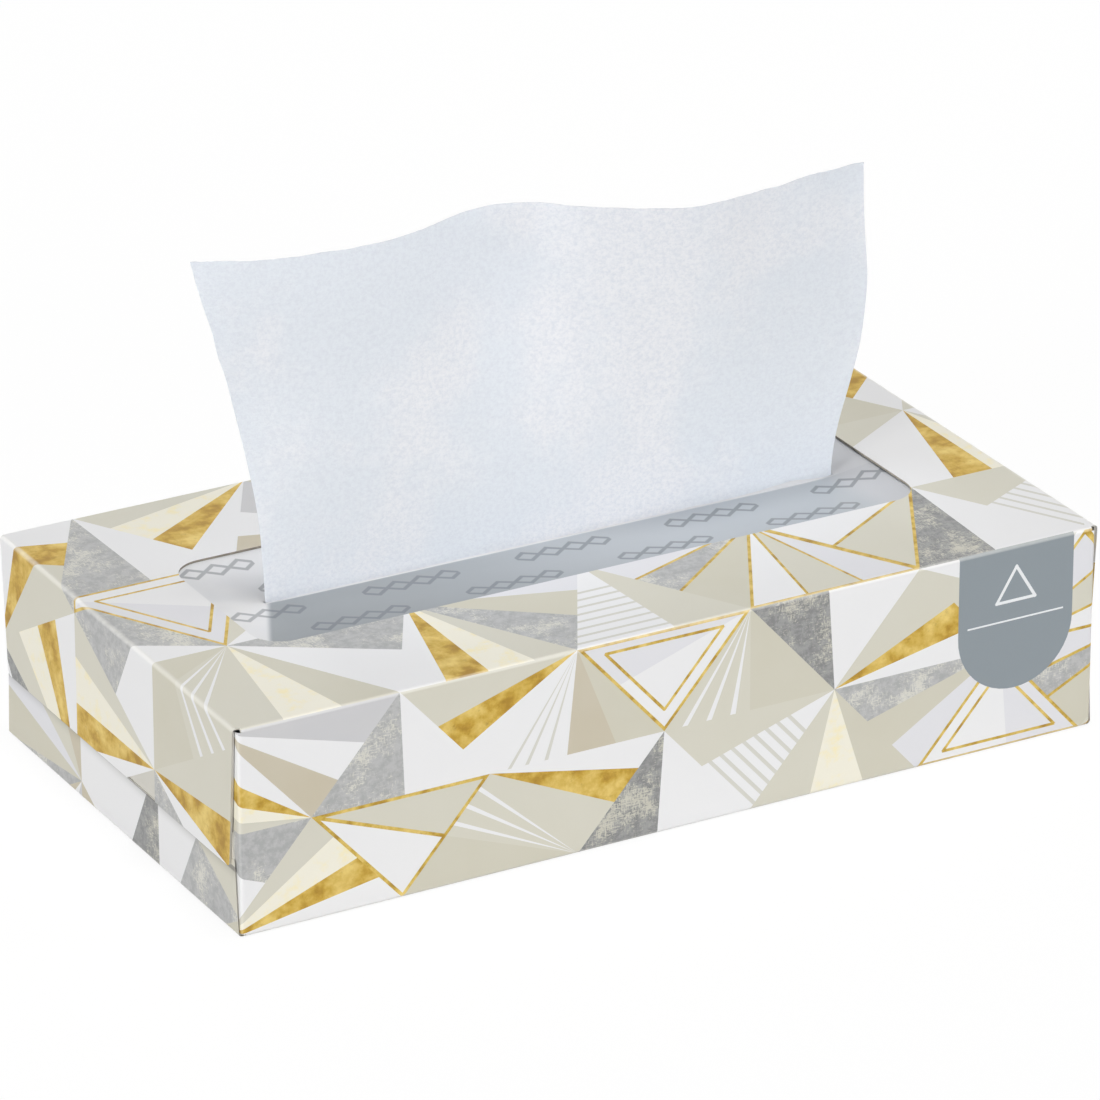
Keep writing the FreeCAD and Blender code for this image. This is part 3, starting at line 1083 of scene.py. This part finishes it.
# layers: how many folds show. profile: where on a fold's height, and whether it stands out there
pack = {"layers": 59, "columns": 40, "seed": 5, "rounding": (2.2, 8), "uneven": (0.05, 0.45), "bulge": 0.16,
        "profile": ((0.12, 0), (0.5, 1), (0.88, 0)), "shoulder": 4.0, "top": 0.02, "end": 0.1}


def packPiece():
    # the rest of the pack: folded edges at front and back, cut edges at the two ends
    layers, columns, bulge = pack["layers"], pack["columns"], pack["bulge"]
    deep, power = pack["rounding"]
    chance = random.Random(pack["seed"])
    low, high = stackLow, stackHigh
    pitch = (high.z - low.z) / layers
    front, back = [], []
    for k in range(layers):
        rounding = deep * abs(2 * (k + 0.5) / layers - 1) ** power
        inFront = rounding + chance.uniform(*pack["uneven"])
        inBack = rounding + chance.uniform(*pack["uneven"])
        for share, out in pack["profile"]:
            z = low.z + pitch * (k + share)
            front.append((low.y + inFront + bulge * (1 - out), z))
            back.append((high.y - inBack - bulge * (1 - out), z))
    top, frontTurn, backTurn = high.z - pack["top"], low.y + pack["shoulder"], high.y - pack["shoulder"]
    ring = ([(frontTurn, low.z)] + front + [(frontTurn, top), (0.0, top), (backTurn, top)]
            + back[::-1] + [(backTurn, low.z), (0.0, low.z)])
    count = len(ring)
    points, faces = [], []
    for c in range(columns + 1):
        x = low.x + pack["end"] + (high.x - low.x - 2 * pack["end"]) * c / columns
        points += [(x, y, z) for y, z in ring]
    for c in range(columns):
        for k in range(count):
            n = (k + 1) % count
            faces.append((c * count + k, c * count + n, (c + 1) * count + n, (c + 1) * count + k))
    faces.append(tuple(range(count))[::-1])
    faces.append(tuple(columns * count + k for k in range(count)))
    piece = meshPiece("tissue_pack", points, faces, [tissueFinish("pack_paper", 0.0)], smooth=False)
    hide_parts("tissue_stack")
    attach(piece, "root")


packPiece()
print("pack done")


# floor, light and camera

room = {"white": (1, 1, 1, 1), "fill": 0.11, "reach": 6000.0, "floor": -0.12, "grey": (0.5, 0.5, 0.5, 1),
        "glow": 1.14, "glowing": 0.8}


def whiteRoom():
    world = bpy.data.worlds.new("studio")
    bpy.context.scene.world = world
    world.use_nodes = True
    nodes = NodeTree(world.node_tree)
    soft, plain = (nodes.node("ShaderNodeBackground", None, {"Color": room["white"], "Strength": strength})
                   for strength in (room["fill"], 1.0))
    shown = nodes.blend(nodes.offstage(), soft["Background"], plain["Background"])
    nodes.node("ShaderNodeOutputWorld", None, {"Surface": shown})


def floorPiece():
    # the floor glows for the camera, and still takes the box's shadow
    finish = Finish("floor_white", Base_Color=room["grey"], Roughness=0.9, Specular_IOR_Level=0.0)
    glow = finish.node("ShaderNodeEmission", None, {"Color": room["white"], "Strength": room["glow"]})
    finish.show(finish.blend(finish.offstage() * room["glowing"], finish.shaded, glow["Emission"]))
    reach, z = room["reach"], room["floor"]
    corners = [(-reach, -reach, z), (reach, -reach, z), (reach, reach, z), (-reach, reach, z)]
    floor = meshPiece("floor", corners, [(0, 1, 2, 3)], [finish])


# where each light comes from, its strength, its softness in degrees, its colour
lamps = {"key_above": ((0.02, -0.02, 1.0), 1.62, 16, (1.0, 0.995, 0.985)),
         "fill_front": ((0.03, -1.0, 0.12), 1.12, 40, (1, 1, 1)),
         "fill_left": ((-1.0, -0.42, 0.12), 2.35, 20, (1, 1, 1)),
         "fill_behind": ((0.1, 1.0, 0.05), 2.2, 14, (1, 1, 1)),
         "fill_right": ((1.0, -0.4, 0.07), 1.85, 20, (1, 1, 1))}


def addLamp(name, comesFrom, strength, softness, colour):
    light = bpy.data.lights.new(name, "SUN")
    light.energy = strength
    light.angle = math.radians(softness)
    light.color = colour
    shown = bpy.data.objects.new(name, light)
    shown.rotation_mode = "QUATERNION"
    shown.rotation_quaternion = Vector(comesFrom).to_track_quat("Z", "Y")
    bpy.context.scene.collection.objects.link(shown)


whiteRoom()
floorPiece()
for name, settings in lamps.items():
    addLamp(name, *settings)

# angles in degrees, distances in lengths of the box, lens and sensor in mm
view = {"azimuth": -28.91, "elevation": 24.20, "roll": -0.20, "away": 7.526, "rise": 0.186, "lens": 235.69,
        "sensor": 36.0, "sees": 50.0}


def aimCamera():
    a, e, r = (math.radians(view[k]) for k in ("azimuth", "elevation", "roll"))
    back = Vector((math.sin(a) * math.cos(e), -math.cos(a) * math.cos(e), math.sin(e)))
    right = Vector((math.cos(a), math.sin(a), 0))
    up = back.cross(right)
    tiltedRight = right * math.cos(r) + up * math.sin(r)
    tiltedUp = up * math.cos(r) - right * math.sin(r)
    camera = bpy.data.objects.new("camera", bpy.data.cameras.new("camera"))
    camera.data.lens = view["lens"]
    camera.data.sensor_width = view["sensor"]
    camera.data.clip_end = view["sees"]
    turn = Matrix((tiltedRight, tiltedUp, back)).transposed().to_4x4()
    spot = (back * view["away"] + tiltedUp * view["rise"]) * length * mm
    camera.matrix_world = Matrix.Translation(spot) @ turn
    bpy.context.scene.collection.objects.link(camera)
    bpy.context.scene.camera = camera


aimCamera()
bpy.context.scene.view_settings.view_transform = "Standard"
print("room, lamps and camera done")
